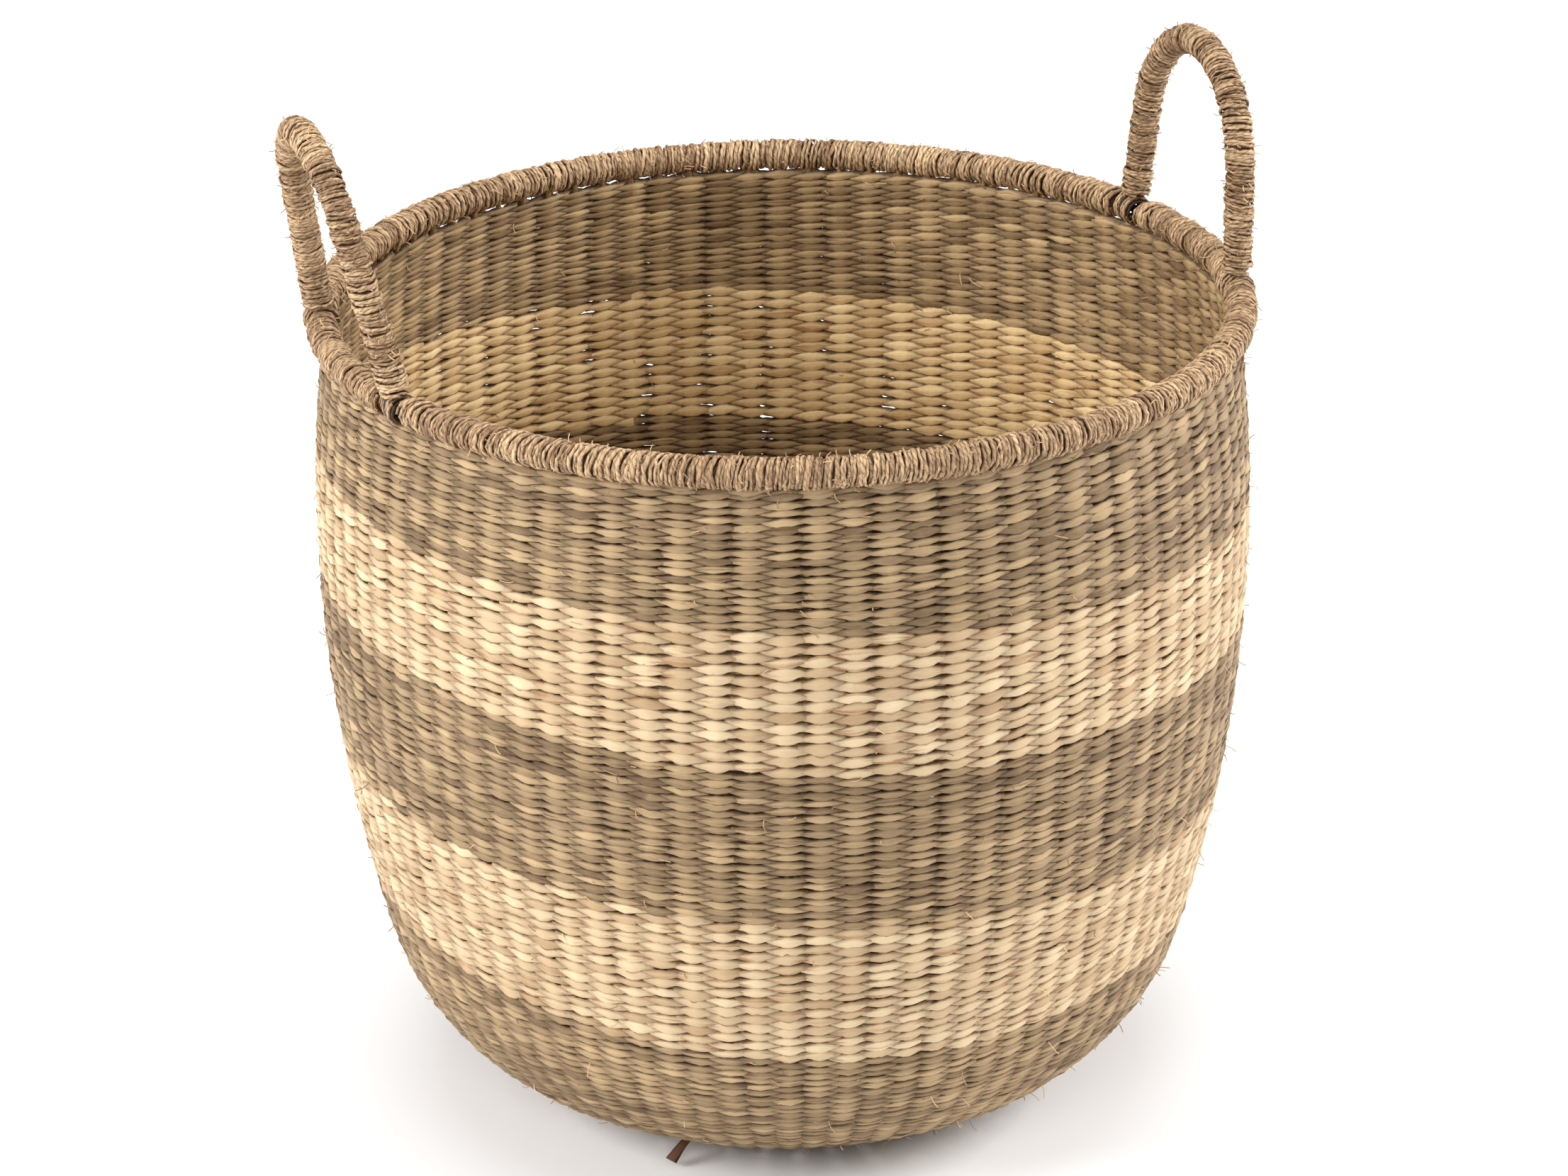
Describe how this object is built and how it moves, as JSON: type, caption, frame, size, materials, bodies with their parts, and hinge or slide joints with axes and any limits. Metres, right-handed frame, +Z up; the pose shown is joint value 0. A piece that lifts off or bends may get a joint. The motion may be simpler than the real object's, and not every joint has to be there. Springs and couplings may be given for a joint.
{
  "type": "storage basket",
  "caption": "Round woven seagrass storage basket with banded walls, a bound rim and arched carry handles that rock on the rim.",
  "frame": {"origin": "centre of the flat base's underside, on the floor", "axes": "+Z up along the basket's axis; the handles stand at +X (right) and -X (left), each hinge parallel to Y; -Y is the front"},
  "size_m": [0.4696, 0.4554, 0.5201],
  "materials": {
    "olive_weft": "dry seagrass, matt with a faint sheen",
    "cream_weft": "pale seagrass leaf, matt with a faint sheen",
    "stakes": "bare split cane",
    "binding": "fine leaf cord, matt",
    "padding": "loose fibre, matt",
    "wire": "plain drawn wire"
  },
  "bodies": {
    "basket": {"base_start": "olive_weft", "base_weft": "olive_weft", "weft_olive_bottom": "olive_weft", "weft_cream_lower": "cream_weft", "weft_olive_middle": "olive_weft", "weft_cream_upper": "cream_weft", "weft_olive_top": "olive_weft", "stakes_first": "stakes", "stakes_second": "stakes", "stakes_third": "stakes", "rim_hoop": "wire", "rim_padding": "padding", "rim_binding_front": "binding", "rim_binding_right": "binding", "rim_binding_back": "binding", "rim_binding_left": "binding"},
    "handle_right": {"handle_wire_right": "wire", "handle_padding_right": "padding", "handle_binding_right": "binding"},
    "handle_left": {"handle_wire_left": "wire", "handle_padding_left": "padding", "handle_binding_left": "binding"}
  },
  "joints": [
    {"name": "handle_right_rock", "type": "hinge", "parent": "basket", "child": "handle_right", "pos_m": [0.21109, 0, 0.398], "axis": [0, 1, 0], "range_deg": [-19, 26]},
    {"name": "handle_left_rock", "type": "hinge", "parent": "basket", "child": "handle_left", "pos_m": [-0.21109, 0, 0.398], "axis": [0, -1, 0], "range_deg": [-26.5, 18.5]}
  ]
}
